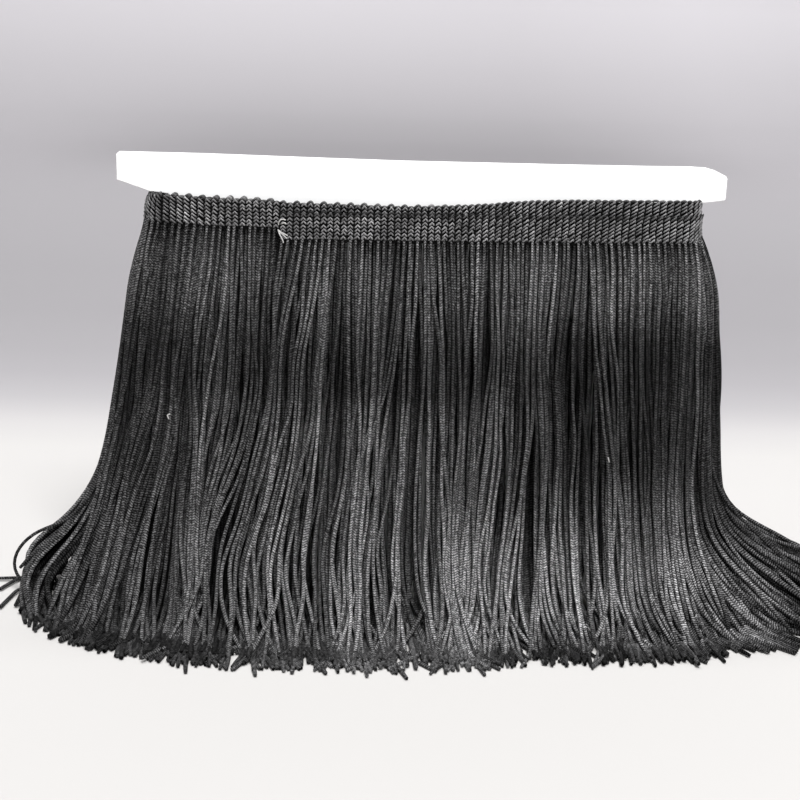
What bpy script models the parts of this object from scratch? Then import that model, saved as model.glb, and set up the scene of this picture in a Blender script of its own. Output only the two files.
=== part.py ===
"""Spaghetti fringe trim wound round the neck of a flat winding board.

The knitted heading goes twice round the board. The fringe under each turn hangs
as a skirt and splays over the surface that the board stands on.
Metres, +Z up, +X to the right, -Y to the front. The origin is at the middle of
the board's foot.
"""

import math
import random

import bmesh
import bpy
from mathutils import Vector

# Winding board: a wider head over a straight neck, cut from flat foam board
BOARD_HEIGHT = 0.139
BOARD_THICKNESS = 0.005
HEAD_HALF_WIDTH = 0.092
NECK_HALF_WIDTH = 0.0765
SHOULDER_END = 0.0835
LEFT_SHOULDER_HEIGHT = 0.1272
LEFT_SHOULDER_RISE = 0.0030
RIGHT_SHOULDER_HEIGHT = 0.1283
RIGHT_SHOULDER_RISE = 0.0006
CUT_CORNER_ACROSS = 0.0068
CUT_CORNER_DOWN = 0.0027

# Heading: one knitted tape, wound as a loose spiral
HEADING_HEIGHT = 0.0078
HEADING_THICKNESS = 0.0016
HEADING_TOP = 0.1271
HEADING_TILT = 0.0005
HEADING_TURNS = 2
HEADING_ROWS = 5
ROW_RELIEF = 0.00025
LAYER_PITCH = 0.00195
CUT_END = -0.043
OUTER_DROP = 0.0031
DROP_RISES_FROM = 0.45
DROP_GONE_AT = 0.80

# Plan of the outermost turn: two long shallow arcs joined by two round ends
OVAL_END_CENTRE = 0.0768
OVAL_END_RADIUS = 0.0077
OVAL_HALF_DEPTH = 0.010
LONG_SIDE_STEPS = 8
ROUND_END_STEPS = 8

# Fringe: strands fused at the root into a narrow strip under each turn
STRAND_WIDTH = 0.0015
STRAND_THICKNESS = 0.0013
STRIP_HEIGHT = 0.0012
STRIP_THICKNESS = 0.0013
FIT_GAP = 0.0003
SPLAY_AT_CORNERS = math.radians(48)
SPLAY_POWER = 2.4

# How the fringe hangs, bends and lies, turn by turn from the outside in
TURNS = [
    {
        "name": "outer",
        "pitch": 0.00235,
        "least_spacing": 0.0018,
        "straight_drop": 0.0,
        "flare_inset": 0.0,
        "bend_height": 0.029,
        "bend_reach": 0.020,
        "bend_stops": (0.0, 32.0, 62.0, 90.0),
        "tip": 0.0130,
        "tip_spread": 0.0035,
        "unevenness": 0.0016,
    },
    {
        "name": "inner",
        "pitch": 0.0030,
        "least_spacing": 0.0021,
        "straight_drop": 0.0055,
        "flare_inset": 0.0028,
        "bend_height": 0.022,
        "bend_reach": 0.0085,
        "bend_stops": (0.0, 90.0),
        "tip": 0.0050,
        "tip_spread": 0.0012,
        "unevenness": -0.0008,
    },
]

# Flare: how far the fringe stands out where its bend begins
FLARE_MIDDLE = 0.0100
FLARE_TO_THE_LEFT = 0.0042

# Waves in the splay gather the strands of the hem into soft clumps
CLUMP_WAVES = [
    {"length": 0.071, "swing": math.radians(1.9), "start": 0.6},
    {"length": 0.033, "swing": math.radians(0.45), "start": 2.1},
]

HALF_LONG_ARC = math.atan2(
    OVAL_END_CENTRE,
    (OVAL_END_CENTRE**2 / (OVAL_HALF_DEPTH - OVAL_END_RADIUS) + OVAL_END_RADIUS - OVAL_HALF_DEPTH) / 2,
)
LONG_ARC_RADIUS = OVAL_END_RADIUS + OVAL_END_CENTRE / math.sin(HALF_LONG_ARC)
HALF_SIDE = LONG_ARC_RADIUS * HALF_LONG_ARC
END_LENGTH = OVAL_END_RADIUS * (math.pi - 2 * HALF_LONG_ARC)
HALF_ROUND = 2 * HALF_SIDE + END_LENGTH
ROUND = 2 * HALF_ROUND


def clear_scene():
    for thing in list(bpy.data.objects):
        bpy.data.objects.remove(thing, do_unlink=True)


def plain_material(name, colour, roughness):
    material = bpy.data.materials.new(name)
    material.use_nodes = True
    shader = material.node_tree.nodes["Principled BSDF"]
    shader.inputs["Base Color"].default_value = (*colour, 1.0)
    shader.inputs["Roughness"].default_value = roughness
    shader.inputs["Metallic"].default_value = 0.0
    material.diffuse_color = (*colour, 1.0)
    return material


def add_object(name, bm, material, smooth_below=None):
    """Makes one closed body of the bmesh, faces out."""
    bmesh.ops.recalc_face_normals(bm, faces=bm.faces)
    mesh = bpy.data.meshes.new(name)
    bm.to_mesh(mesh)
    bm.free()
    mesh.materials.append(material)
    if smooth_below is not None:
        mesh.shade_smooth()
        mesh.set_sharp_from_angle(angle=smooth_below)
    obj = bpy.data.objects.new(name, mesh)
    bpy.context.scene.collection.objects.link(obj)
    return obj


def smooth_step(value, low, high):
    x = min(max((value - low) / (high - low), 0.0), 1.0)
    return x * x * (3 - 2 * x)


def half_round_place(along):
    """Splits a place along the outermost turn, counted from the middle of the front, into
    a place on the front and right half and a sign that is -1 on the back and left half."""
    place = (along + HALF_SIDE) % ROUND - HALF_SIDE
    if place < HALF_ROUND - HALF_SIDE:
        return place, 1
    return place - HALF_ROUND, -1


def oval(along, inset=0.0):
    """A point of the turn's centre line, seen from above, and the way out from the board."""
    place, sign = half_round_place(along)
    if place <= HALF_SIDE:
        angle = place / LONG_ARC_RADIUS
        out = Vector((math.sin(angle), -math.cos(angle), 0.0))
        centre = Vector((0.0, LONG_ARC_RADIUS - OVAL_HALF_DEPTH, 0.0))
        radius = LONG_ARC_RADIUS
    else:
        angle = HALF_LONG_ARC - math.pi / 2 + (place - HALF_SIDE) / OVAL_END_RADIUS
        out = Vector((math.cos(angle), math.sin(angle), 0.0))
        centre = Vector((OVAL_END_CENTRE, 0.0, 0.0))
        radius = OVAL_END_RADIUS
    return sign * (centre + out * (radius - inset)), sign * out


def tightening(along, inset):
    """How much shorter the inset turn is here than the outermost one, which crowds its strands."""
    place, _ = half_round_place(along)
    radius = LONG_ARC_RADIUS if place <= HALF_SIDE else OVAL_END_RADIUS
    return (radius - inset) / radius


def splay_angle(along):
    """The way in which a strand leans out, as an angle in plan. It fans out over the round ends."""
    place, sign = half_round_place(along)
    if place <= HALF_SIDE:
        share = place / HALF_SIDE
        angle = -math.pi / 2 + SPLAY_AT_CORNERS * math.copysign(abs(share) ** SPLAY_POWER, share)
    else:
        share = (place - HALF_SIDE) / END_LENGTH
        angle = -math.pi / 2 + SPLAY_AT_CORNERS + share * (math.pi - 2 * SPLAY_AT_CORNERS)
    if sign < 0:
        angle += math.pi
    for wave in CLUMP_WAVES:
        angle += wave["swing"] * math.sin(2 * math.pi * along / wave["length"] + wave["start"])
    return angle


def heading_bottom(along, turn, x):
    """Height of the tape's lower edge. The outer turn starts lower and rises round the back."""
    drop = OUTER_DROP * (1 - smooth_step(turn, DROP_RISES_FROM, DROP_GONE_AT))
    return HEADING_TOP - HEADING_HEIGHT + HEADING_TILT * x / OVAL_END_CENTRE - drop


def make_board(material):
    """The board's outline, extruded to its thickness and stood on its foot."""
    top_right_arc = []
    for degrees in (20, 45, 70):
        angle = math.radians(degrees)
        top_right_arc.append(
            (
                HEAD_HALF_WIDTH - CUT_CORNER_ACROSS * (1 - math.cos(angle)),
                BOARD_HEIGHT - CUT_CORNER_DOWN * (1 - math.sin(angle)),
            )
        )
    outline = [
        (-NECK_HALF_WIDTH, 0.0),
        (NECK_HALF_WIDTH, 0.0),
        (NECK_HALF_WIDTH, RIGHT_SHOULDER_HEIGHT),
        (SHOULDER_END, RIGHT_SHOULDER_HEIGHT),
        (HEAD_HALF_WIDTH, RIGHT_SHOULDER_HEIGHT + RIGHT_SHOULDER_RISE),
        (HEAD_HALF_WIDTH, BOARD_HEIGHT - CUT_CORNER_DOWN),
        *top_right_arc,
        (HEAD_HALF_WIDTH - CUT_CORNER_ACROSS, BOARD_HEIGHT),
        (-HEAD_HALF_WIDTH, BOARD_HEIGHT),
        (-HEAD_HALF_WIDTH, LEFT_SHOULDER_HEIGHT + LEFT_SHOULDER_RISE),
        (-SHOULDER_END, LEFT_SHOULDER_HEIGHT),
        (-NECK_HALF_WIDTH, LEFT_SHOULDER_HEIGHT),
    ]
    bm = bmesh.new()
    front = [bm.verts.new((x, -BOARD_THICKNESS / 2, z)) for x, z in outline]
    face = bm.faces.new(front)
    grown = bmesh.ops.extrude_face_region(bm, geom=[face])
    back = [item for item in grown["geom"] if isinstance(item, bmesh.types.BMVert)]
    bmesh.ops.translate(bm, verts=back, vec=(0.0, BOARD_THICKNESS, 0.0))
    return add_object("winding_board", bm, material)


def heading_stations():
    """Places along the tape: even steps on each long side and on each round end."""
    corners = []
    for lap in range(-1, HEADING_TURNS + 1):
        for half in range(2):
            start = lap * ROUND + half * HALF_ROUND - HALF_SIDE
            for step in range(LONG_SIDE_STEPS):
                corners.append(start + 2 * HALF_SIDE * step / LONG_SIDE_STEPS)
            for step in range(ROUND_END_STEPS):
                corners.append(start + 2 * HALF_SIDE + END_LENGTH * step / ROUND_END_STEPS)
    first = CUT_END
    last = CUT_END + HEADING_TURNS * ROUND
    margin = HALF_SIDE / LONG_SIDE_STEPS / 2
    return [first] + [place for place in corners if first + margin < place < last - margin] + [last]


def heading_section():
    """The tape's cross-section, out from its centre line and up from its lower edge.
    The knitted rows are ridges on the outer face."""
    section = [(-HEADING_THICKNESS / 2, 0.0)]
    for edge in range(2 * HEADING_ROWS + 1):
        relief = 0.0 if edge % 2 else ROW_RELIEF
        height = HEADING_HEIGHT * edge / (2 * HEADING_ROWS)
        section.append((HEADING_THICKNESS / 2 - relief, height))
    section.append((-HEADING_THICKNESS / 2, HEADING_HEIGHT))
    return section


def make_heading(material):
    section = heading_section()
    bm = bmesh.new()
    rings = []
    for along in heading_stations():
        turn = (along - CUT_END) / ROUND
        centre, out = oval(along, LAYER_PITCH * turn)
        bottom = heading_bottom(along, turn, centre.x)
        rings.append([bm.verts.new(centre + out * off + Vector((0, 0, bottom + up))) for off, up in section])
    for ring, following in zip(rings, rings[1:]):
        for k in range(len(section)):
            nxt = (k + 1) % len(section)
            bm.faces.new((ring[k], ring[nxt], following[nxt], following[k]))
    bm.faces.new(rings[0])
    bm.faces.new(reversed(rings[-1]))
    return add_object("heading", bm, material, smooth_below=math.radians(30))


def strand_path(turn, along, tip, stray):
    """A strand's centre line in its own upright plane, as distance out from its root, height
    below the root or above the floor, and the lean of the line from straight down to level."""
    sideways = math.cos(splay_angle(along))
    flare = FLARE_MIDDLE - FLARE_TO_THE_LEFT * sideways - turn["flare_inset"] + stray
    rest = STRAND_THICKNESS / 2
    path = []
    if turn["straight_drop"] > 0:
        path.append({"out": 0.0, "below_root": turn["straight_drop"], "lean": 0.0})
    for stop in turn["bend_stops"]:
        angle = math.radians(stop)
        path.append(
            {
                "out": flare + turn["bend_reach"] * (1 - math.cos(angle)),
                "above_floor": rest + (turn["bend_height"] - rest) * (1 - math.sin(angle)),
                "lean": math.atan2(turn["bend_reach"] * math.sin(angle), turn["bend_height"] * math.cos(angle)),
            }
        )
    hang = math.atan2(flare, HEADING_TOP - HEADING_HEIGHT - turn["bend_height"])
    path[-len(turn["bend_stops"])]["lean"] = hang
    path.append({"out": path[-1]["out"] + tip, "above_floor": rest, "lean": math.pi / 2})
    return path


def add_strand(bm, root_ring, root, turn, along, tip, stray):
    """Grows one four-sided strand from the open cell in the strip's underside."""
    angle = splay_angle(along)
    away = Vector((math.cos(angle), math.sin(angle), 0.0))
    across = Vector((-math.sin(angle), math.cos(angle), 0.0)) * (STRAND_WIDTH / 2)
    ring = root_ring
    for stop in strand_path(turn, along, tip, stray):
        height = stop["above_floor"] if "above_floor" in stop else root.z - stop["below_root"]
        middle = Vector((root.x, root.y, 0.0)) + away * stop["out"] + Vector((0.0, 0.0, height))
        outer = away * math.cos(stop["lean"]) + Vector((0.0, 0.0, math.sin(stop["lean"])))
        outer *= STRAND_THICKNESS / 2
        corners = (middle - across + outer, middle + across + outer, middle + across - outer, middle - across - outer)
        following = [bm.verts.new(corner) for corner in corners]
        for k in range(4):
            nxt = (k + 1) % 4
            bm.faces.new((ring[k], ring[nxt], following[nxt], following[k]))
        ring = following
    bm.faces.new(ring)


def strip_ring(bm, along):
    """The strip's four corners at one place along its turn."""
    turn = (along - CUT_END) / ROUND
    centre, out = oval(along, LAYER_PITCH * turn)
    top = heading_bottom(along, turn, centre.x) - FIT_GAP
    half = out * (STRIP_THICKNESS / 2)
    low = Vector((0.0, 0.0, top - STRIP_HEIGHT))
    high = Vector((0.0, 0.0, top))
    ring = {
        "outer_top": bm.verts.new(centre + half + high),
        "outer_low": bm.verts.new(centre + half + low),
        "inner_low": bm.verts.new(centre - half + low),
        "inner_top": bm.verts.new(centre - half + high),
    }
    return ring, centre + low


def make_fringe(name, turn, strands, material):
    """One strip and the strands that grow from it."""
    bm = bmesh.new()
    half = STRAND_WIDTH / 2
    previous = None
    for along, tip, stray in strands:
        start, _ = strip_ring(bm, along - half)
        end, _ = strip_ring(bm, along + half)
        cells = [(start, end)]
        if previous is None:
            bm.faces.new(list(start.values()))
        else:
            cells.append((previous, start))
            bm.faces.new((previous["outer_low"], start["outer_low"], start["inner_low"], previous["inner_low"]))
        for left, right in cells:
            bm.faces.new((left["outer_top"], right["outer_top"], right["outer_low"], left["outer_low"]))
            bm.faces.new((left["inner_top"], right["inner_top"], right["inner_low"], left["inner_low"]))
            bm.faces.new((left["outer_top"], right["outer_top"], right["inner_top"], left["inner_top"]))
        root = (start["outer_low"].co + end["inner_low"].co) / 2
        root_ring = [start["outer_low"], end["outer_low"], end["inner_low"], start["inner_low"]]
        add_strand(bm, root_ring, root, turn, along, tip, stray)
        previous = end
    bm.faces.new(list(reversed(previous.values())))
    return add_object(name, bm, material, smooth_below=math.radians(40))


def side_of(along, lap_start):
    """The side of the board on which a strand has its root."""
    place, sign = half_round_place(along)
    if place > HALF_SIDE:
        return "right" if sign > 0 else "left"
    if sign < 0:
        return "back"
    return "front" if along - lap_start < HALF_ROUND else "front_left"


def make_turn(index, turn, material, rng):
    """The fringe of one turn of the tape, one node for each side of the board."""
    lap_start = CUT_END + index * ROUND
    along = lap_start + turn["pitch"] / 2
    sides = {}
    while along < lap_start + ROUND - turn["pitch"] / 2:
        tip = turn["tip"] + turn["tip_spread"] * rng.uniform(-1.0, 1.0)
        stray = turn["unevenness"] * rng.uniform(0.0, 1.0)
        sides.setdefault(side_of(along, lap_start), []).append((along, tip, stray))
        inset = LAYER_PITCH * (along - CUT_END) / ROUND
        along += max(turn["pitch"], turn["least_spacing"] / tightening(along, inset))
    for side, strands in sides.items():
        make_fringe(f"fringe_{turn['name']}_{side}", turn, strands, material)


def main():
    clear_scene()
    foam_board = plain_material("foam_board", (0.86, 0.86, 0.85), 0.62)
    black_knit = plain_material("black_knit", (0.018, 0.018, 0.019), 0.58)
    black_chainette = plain_material("black_chainette", (0.022, 0.022, 0.023), 0.45)
    rng = random.Random(7)
    make_board(foam_board)
    make_heading(black_knit)
    for index, turn in enumerate(TURNS):
        make_turn(index, turn, black_chainette, rng)


main()
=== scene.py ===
"""The looks of a black spaghetti fringe trim wound twice round a white winding board.

The knitted heading, its fringe of chainette strands and the board's finish are
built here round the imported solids. Metres, +Z up, -Y to the front.
"""

import math
from itertools import product

import bpy
import numpy as np
from mathutils import Matrix, Vector


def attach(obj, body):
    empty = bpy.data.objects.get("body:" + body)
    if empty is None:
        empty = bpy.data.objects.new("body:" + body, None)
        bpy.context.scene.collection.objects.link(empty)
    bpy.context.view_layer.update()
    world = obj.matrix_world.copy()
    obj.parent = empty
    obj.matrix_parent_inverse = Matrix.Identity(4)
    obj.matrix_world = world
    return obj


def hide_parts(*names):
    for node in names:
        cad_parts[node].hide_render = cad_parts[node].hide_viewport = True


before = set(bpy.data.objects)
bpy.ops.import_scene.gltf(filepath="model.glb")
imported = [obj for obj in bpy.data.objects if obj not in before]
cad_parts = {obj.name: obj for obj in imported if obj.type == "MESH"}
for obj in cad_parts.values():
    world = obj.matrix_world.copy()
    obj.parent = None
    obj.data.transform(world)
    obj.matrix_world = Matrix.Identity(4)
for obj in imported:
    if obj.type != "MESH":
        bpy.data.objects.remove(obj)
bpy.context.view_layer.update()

rng = np.random.default_rng(11)

# Plan of the heading's outermost turn, as in the solids
OVAL_END_CENTRE = 0.0768
OVAL_END_RADIUS = 0.0077
OVAL_HALF_DEPTH = 0.010
LAYER_PITCH = 0.00195
CUT_END = -0.043
TURNS = 2

# Winding board: its outline as seen, in millimetres, with soft edges
BOARD_OUTLINE = [
    (-76.5, 0), (76.5, 0), (76.5, 128.3), (85.4, 128.3), (91.2, 129.1), (91.5, 129.5), (91.5, 135.7),
    (91.1, 136.4), (88.3, 137.7), (85.6, 138.4), (81, 138.6), (68.7, 138.45), (45, 138.3), (-7, 138.25),
    (-37.5, 138.6), (-67, 139), (-91.3, 139), (-91.7, 138.6), (-91.7, 131.1), (-83.5, 128.4), (-82, 127.8),
    (-76.5, 127.2),
]
BOARD_THICKNESS = 0.005
BOARD_EDGE = 0.0003

# Heading: knitted tape
HEADING_TOP = 0.1271
HEADING_TILT = 0.0005
HEADING_HEIGHT = 0.0078
ROOT_ROW = 0.0009
OUTER_DROP = 0.0031
DROP_RISES_FROM = 0.45
DROP_GONE_AT = 0.80
INNER_SAG = 0.0013
INNER_SAG_PLACE = -0.008
INNER_SAG_WIDTH = 0.030
RIGHT_END_STRETCH = 0.0010
INNER_RIGHT_STRETCH = 0.0014
LEFT_END_STRETCH = 0.0006
END_STRETCHES = (0.050, 0.080)
LEFT_RISE = 0.0007
LEFT_RISES = (-0.080, -0.062)
CUT_END_DIP = 0.0004
CUT_END_DIP_PLACE = -0.041
CUT_END_DIP_WIDTH = 0.009
ROWS = 7
COLUMN = 0.0020
TAPE_THICKNESS = 0.0005
TAPE_TOP_GAP = 0.0002
TAPE_STEP = 0.003
STITCH_RADIUS = 0.00025
STITCH_END_SHARE = 0.7
STITCH_PULL = 0.34
STITCH_LEG_TUCK = 0.0006
STITCH_SCATTER = 0.00008
STITCH_TONE_SCATTER = 0.2
SLANTS_TO_RIGHT = (-0.005, 0.030)
SLANTS_TO_LEFT = (0.052, 0.074)
FLATTER_AT_ENDS = 0.5
FLATTER_PLACES = (0.077, 0.081)
EDGE_KNOB_RADIUS = 0.00040
EDGE_KNOB_SHADED_TONE = 0.40
EDGE_KNOB_SLANT = 0.0004
EDGE_KNOB_FOOT = 0.00030
EDGE_KNOB_RISE = 0.00050
EDGE_KNOB_BY_TURNS = 0.00028
EDGE_KNOB_THIN_DROP = 0.00020
EDGE_KNOB_SCATTER = 0.00006
TOP_ROW_SHADE = 0.55
RIGHT_SHADE = 0.28
LEFT_SHADE = 0.06
LEFT_END_SHADE = 0.5
INNER_RISE = 0.0011
INNER_RISES = (0.010, 0.040)
LEFT_END_ROUNDING = 0.0016
LEFT_END_ROUNDS = (0.077, 0.084)

# Thread end that ties off the cut end: a hook, a bight and three frayed tails, in millimetres
# along the tape, up from its lower edge and off its face
THREAD_RADIUS = 0.00019
THREAD_LINES = [
    [(-0.3, 4.3, 0.8), (-0.2, 5.2, 1.1), (0.3, 6.0, 1.35), (1.1, 6.2, 1.4), (1.9, 5.9, 1.3)],
    [(0.7, 4.8, 1.0), (1.2, 5.1, 1.35), (1.7, 5.1, 1.4), (2.0, 4.7, 1.2)],
    [(-0.5, 2.9, 0.6), (0.1, 2.2, 1.1), (0.9, 1.7, 1.3), (1.5, 1.2, 1.4), (1.9, 0.8, 1.5), (2.3, 0.5, 1.5)],
    [(-0.4, 2.7, 0.6), (0.0, 1.8, 1.1), (0.4, 1.1, 1.3), (0.8, 0.4, 1.4), (1.1, -0.3, 1.4), (1.2, -0.9, 1.3)],
    [(-0.3, 2.8, 0.7), (0.4, 2.3, 1.2), (1.2, 1.9, 1.3), (1.9, 1.6, 1.4), (2.5, 1.3, 1.4)],
]

# Fringe: chainette strands
STRAND_LENGTH = 0.140
LENGTH_SCATTER = 0.0013
STRAND_RADIUS = 0.00062
FOOT_RADIUS = 0.00073
RIGHT_FOOT_RADIUS = 0.00064
ROOT_RADIUS = 0.00047
ROOT_THICKENS = (0.002, 0.014)
FOOT_THICKENS = (0.075, 0.115)
RIGHT_FOOT_PLACES = (-0.05, 0.04)
RADIUS_SCATTER = 0.06
UNDER_THICKER = 0.30
UNDER_DEPTHS = (0.5, 0.9)
UNDER_THICKENS = (0.010, 0.060)
FILLER_THICKER = 0.22
FILLER_PLACES = (0.060, 0.075)
FILLER_THICKENS = (0.050, 0.090)
CUT_TIP_SHARE = 0.8
STRAND_FLATNESS = 0.92
STRAND_POINTS = 46
STRAND_SIDES = 5
ROOT_TUCK = 0.0012
ROOT_SCATTER = 0.00022
ROW_OFFS = (
    0.00015, -0.00070, -0.00130, -0.00190, -0.00100, -0.00040,
    -0.00160, -0.00120, -0.00060, -0.00080, -0.00140,
)
ROW_SHIFTS = (0.5, 1.0, 0.6, 0.9, 0.3, 0.8, 0.1, 0.4, 0.7, 0.2, 0.65)
ENDS_ONLY_ROW = 3
ENDS_FROM = 0.060
RIGHT_ONLY_ROW = 7
RIGHT_FROM = 0.066
CORNER_ROW = 9
CORNER_FROM = 0.0775
CORNER_SPREAD = 0.50

# Depth in the fringe, from 0 for the outermost strands to 1 for those underneath, and its tones:
# painted shade on the strands underneath, under the heading and at the tips, and a random tone for each
LAYERS_PER_TURN = 3
DEEPEST_LAYER = 4.5
DEPTH_SCATTER = 0.18
DEPTH_STEPS = (0.0, 0.22, 0.44, 0.67, 0.89, 1.0)
DEPTH_PAINTED_SHADES = (1.0, 0.72, 0.52, 0.44, 0.36, 0.32)
FOOT_PAINTED_SHADES = (1.0, 0.90, 0.68, 0.50, 0.36, 0.32)
FOOT_CONTRAST = 3.2
CONTRAST_FALL = 2.4
CONTRAST_FALLS = (-0.06, 0.03)
TIP_CONTRAST_MORE = 0.9
TIP_CONTRAST_LESS = 0.72
FILLER_TONE = 0.66
ROOT_SHADE = 0.65
SHADED_TIP_TONE = 0.45
TIP_SHADE_FROM = 0.124
TIP_SHADE_OVER = 0.012
CUT_TONE = 0.6
STRAND_TONE_SCATTER = 0.24

# Soft patches of light and shade that run over the strands: size, width across, slant and start
PATCHES = ((0.14, 0.0049, 30, 1.1), (0.12, 0.0027, -45, 2.3))

# The ways in which the strands splay out in plan, and how their feet curl round
SPLAY_AT_CORNERS = math.radians(16)
SPLAY_AT_RIGHT_CORNER = math.radians(9)
SPLAY_POWER = 7.0
OWN_SPLAY = 0.022
OWN_SPLAY_AT_RIGHT = 0.030
FILLER_SPREAD = 0.10
FILLER_SPREAD_AT_RIGHT = 0.04
RIGHT_FAN = ((0, 0.2, 0.3, 0.4, 0.5, 0.75, 1), (0, 0.04, 0.12, 0.27, 0.42, 0.68, 1))
LEFT_FAN_POWER = 1.8
LEFT_CURL = 1.28
LEFT_CURL_RANGE = (-1.3, 2.0)
RIGHT_CURL = 0.6
MOST_RIGHT_CURL = 0.6
CURL_SCATTER = 0.20
STRONG_CURL_SCATTER = 0.40
STRONG_CURL_SHARE = 0.3
CURL_FROM = 0.100
CURL_LATER_AT_LEFT = 0.007
CURL_OVER = 0.030

# How a strand leans out, in degrees from upright, at heights over the floor
LEAN_HEIGHTS = np.array([0, 6, 12, 18, 24, 32, 40, 50, 60, 98, 104, 116, 120]) / 1000
LEANS = {
    "left": [14, 19, 16, 10, 11, 17, 23, 33, 43, 54, 57, 55, 55],
    "right": [23, 30, 20, 6, 6, 6, 12, 30, 60, 71, 70, 70, 72],
    "front": [7, 11, 14, 6, 4, 6, 12, 20, 32, 42, 48, 54, 60],
    "under": [3, 3, 3, 1, 1, 3, 6, 11, 22, 36, 48, 60, 70],
}
CORNER_LESS = 0.16
LEFT_ALIKE = 0.78
RIGHT_ALIKE = 0.82
LANDING_BEND = 0.012
TIGHTEST_BEND = 0.009
FLAT_FROM = 0.00005

# Waves of a single strand: wave length in metres and slope, and where the waves are calmer
WAVES = ((0.080, 0.056), (0.046, 0.048), (0.027, 0.030))
FREE_OF_ROOT = (0.002, 0.016)
LEAN_WAVES = 0.4
LEAN_CALMER_AT_ENDS = 0.2
SIDE_WAVES = 0.85
SIDE_WAVES_MORE = 0.3
SIDE_WAVES_GROW = (0.02, 0.09)
CALMER_AT_ENDS = 0.5
CALMER_AT_RIGHT = 0.4
CALMER_PLACES = (0.010, 0.050)
CALMER_UNDER = 0.8

# How much of a slant to the side the camera sees on an upright and on a lying strand
SEEN_UPRIGHT = 0.96
SEEN_LYING = 0.27

# Where front strands lean sideways together: place and width across in millimetres, from and
# to along the strand in millimetres, and degrees to the right
FRONT_SWAYS = [
    (-84, 20, 0, 150, -7),
    (-86, 14, 58, 104, -11),
    (-45, 20, 52, 102, -10),
    (-32, 9, 30, 42, -6),
    (-28, 10, 78, 100, -6),
    (-10, 8, 40, 96, -6),
    (6, 8, -10, 88, 3),
    (15, 7, 70, 98, -4),
    (-6, 5, 4, 38, -3),
    (3, 4, 4, 34, 2),
    (-41, 3, 2, 24, -4),
    (70, 14, 114, 150, 15),
    (-52, 4, 6, 30, 5),
    (-38, 4, 10, 34, -5),
    (44, 5, 8, 40, -5),
    (53, 5, 6, 30, 4),
    (-50, 26, -10, 30, -4),
    (27, 8, 66, 108, -6),
    (38, 6, 42, 62, 6),
    (62, 22, -10, 9, 9),
    (66, 18, 24, 96, 3),
    (26, 9, 90, 150, -3),
    (-62, 14, 60, 100, -7),
    (-69, 6, 52, 110, 9),
    (-80, 12, 86, 150, 9),
    (-46, 12, 106, 150, 8),
    (2, 10, 106, 150, 4),
]
SWAY_EDGE = 9.0
LAYER_SWAYS_LESS_UNDER = 0.7

# Painted light and shade in the strands' colour: one row for each place across, one value for each length
PAINTED_LIGHT_PLACES = np.array([-90, -60, 0, 50, 72, 95]) / 1000
PAINTED_LIGHT_LENGTHS = np.array([0, 22, 34, 46, 58, 78, 94, 112, 140]) / 1000
PAINTED_LIGHT = [
    [0.69, 0.66, 0.32, 0.32, 0.46, 0.50, 0.79, 0.75, 0.66],
    [0.69, 0.68, 0.37, 0.36, 0.74, 0.74, 0.86, 0.84, 0.84],
    [0.68, 0.67, 0.41, 0.39, 1.12, 1.18, 1.38, 1.42, 1.42],
    [0.88, 0.84, 0.29, 0.28, 0.30, 0.35, 1.15, 1.80, 1.95],
    [0.88, 0.80, 0.29, 0.28, 0.30, 0.32, 0.75, 1.12, 1.25],
    [0.86, 0.72, 0.30, 0.29, 0.31, 0.33, 0.55, 0.67, 0.67],
]
# A painted pool of light on the front right corner of the foot, and where it starts and fades
CORNER_PAINTED_LIGHT = 1.58
CORNER_ACROSS = (0.076, 0.092)
CORNER_TO_FRONT = (0.004, 0.022)
CORNER_LENGTHS = (0.082, 0.108)
CORNER_FADE = 0.55
CORNER_FADES = (0.102, 0.120)

# The hem in plan, in millimetres, and how far ends are trimmed or drawn out to it
HEM = [
    (-130, -8), (-125, -28), (-115, -37), (-99, -48), (-86, -55), (-70, -60), (-50, -62.5), (-30, -62),
    (-5, -64), (30, -59), (70, -57.5), (83, -53), (97, -47), (108, -47), (125, -42), (142, -32),
]
REACH = 0.136
MOST_REACH = 0.007
MOST_TRIMMED = 0.020
MOST_DRAWN = 0.009
HEM_RAGGED = 0.0022
HEM_FURTHER_IN = 0.011
HEM_STANDING_OUT = (0.0005, 0.0038)
HEM_STANDING_OUT_SHARE = 0.13

# Loose strands, as rough points in millimetres
STRAY_RADIUS = 0.00058
STRAY_TONE = 0.30
STRAY_STRANDS = [
    [(-91, -4, 60), (-96, -4, 45), (-101, -5, 33), (-109.4, -6, 23.4), (-115.7, -6, 22.0), (-121.7, -6, 18.5),
     (-125.7, -6, 13.4), (-127.1, -6, 8.6), (-126.3, -6, 5.6), (-122, -8, 2.5), (-116, -12, 1.0)],
    [(-104, 6, 7), (-112, 4.5, 2.5), (-120, 3, 1), (-127, 2.6, 1), (-133, 2, 1)],
    [(-104, 10, 7), (-112, 9, 2.5), (-118, 8, 1), (-123.5, 5, 1), (-127.6, 0.8, 1), (-130.8, -6.6, 1)],
    [(-112, -3, 6), (-119, -4, 2.0), (-125.3, -7.3, 1), (-126.5, -13.6, 1), (-127.8, -20.6, 1)],
    [(91.5, -6, 66), (92.6, -6, 54), (94.4, -6, 44), (96.4, -6, 36.0), (102.5, -6, 29.5), (111, -6, 23.5),
     (121, -7, 14), (131, -9, 6)],
    [(91, -7, 62), (92.4, -7, 50), (94.9, -7, 41), (98.8, -7, 34.0), (106.0, -7, 27.0), (115, -8, 19),
     (124, -10, 11), (132, -13, 4)],
]
LINT_RADIUS = 0.00022
LINT_SPECKS = [
    (-0.0764, 0.0617, [(0.9, 0.5), (0.5, -1.1)]),
    (0.0588, 0.0500, [(-0.5, 1.6)]),
]

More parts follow.
